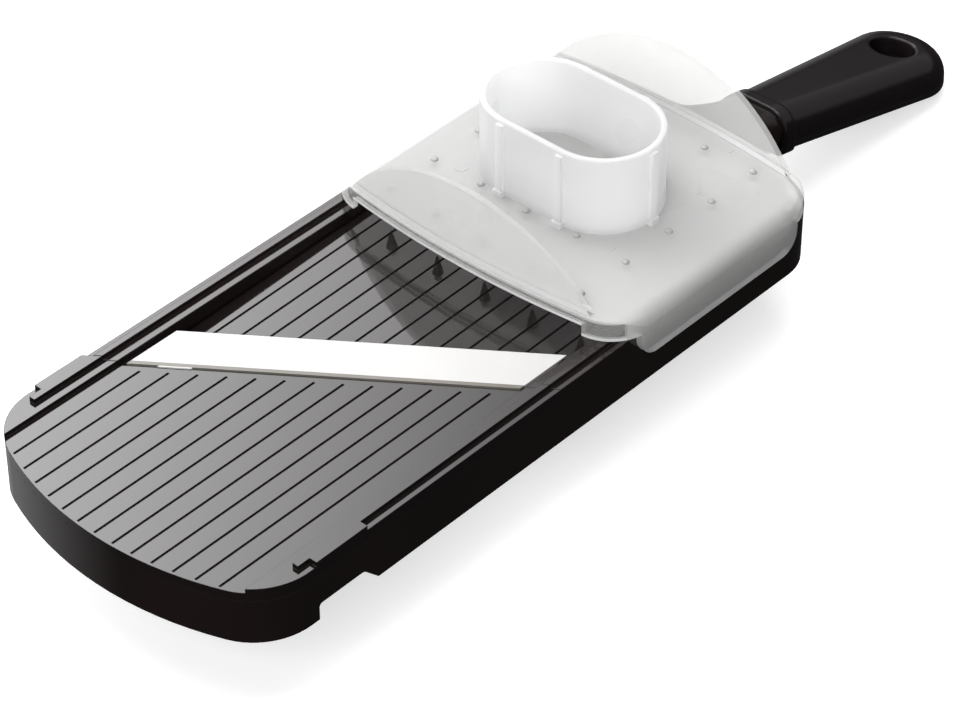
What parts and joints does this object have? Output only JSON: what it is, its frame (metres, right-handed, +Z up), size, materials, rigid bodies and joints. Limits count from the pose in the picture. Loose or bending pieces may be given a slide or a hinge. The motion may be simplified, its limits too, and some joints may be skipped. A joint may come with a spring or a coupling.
{
  "type": "mandoline slicer",
  "caption": "Hand-held mandoline slicer with a slanted white ceramic blade, grooved black deck, adjustable infeed plate, drooping handle and sliding finger guard.",
  "frame": {"origin": "middle of the bounding box in plan, at the height of the lowest point of the handle", "axes": "+X to the right side, +Y along the body towards the handle, +Z up, square to the deck"},
  "size_m": [0.0968, 0.3146, 0.0647],
  "materials": {
    "body_black": "polished mould",
    "deck_black": "mirror gloss",
    "handle_black": "gloss",
    "blade_white": "ground ceramic",
    "guard_clear": "frosted translucent",
    "dial_black": "satin",
    "steel": "drawn"
  },
  "bodies": {
    "frame": {"chassis": "body_black", "front_deck": "deck_black", "blade": "blade_white", "deck_screws": "steel", "handle_upper": "handle_black", "handle_lower": "handle_black", "handle_collar": "handle_black", "handle_screws": "steel"},
    "infeed": {"infeed_plate": "deck_black", "hinge_pin": "steel"},
    "dial": {"cam_bar": "dial_black", "thickness_dial": "dial_black", "dial_pin": "steel"},
    "guard": {"guard_shell": "guard_clear", "grip_cup": "guard_clear", "holding_pins": "guard_clear"}
  },
  "joints": [
    {"name": "dial_turn", "type": "hinge", "parent": "frame", "child": "dial", "pos_m": [0, -0.0263, 0.02489], "axis": [1, 0, 0], "range_deg": [0, 270]},
    {"name": "infeed_tilt", "type": "hinge", "parent": "frame", "child": "infeed", "pos_m": [0, 0.0397, 0.02993], "axis": [1, 0, 0], "range_deg": [-1.38, 0]},
    {"name": "guard_slide", "type": "slide", "parent": "frame", "child": "guard", "axis": [0, 1, 0], "range_m": [-0.1, 0]}
  ],
  "couplings": [
    {"joint": "dial_turn", "follows": "infeed_tilt", "ratio": -196}
  ]
}
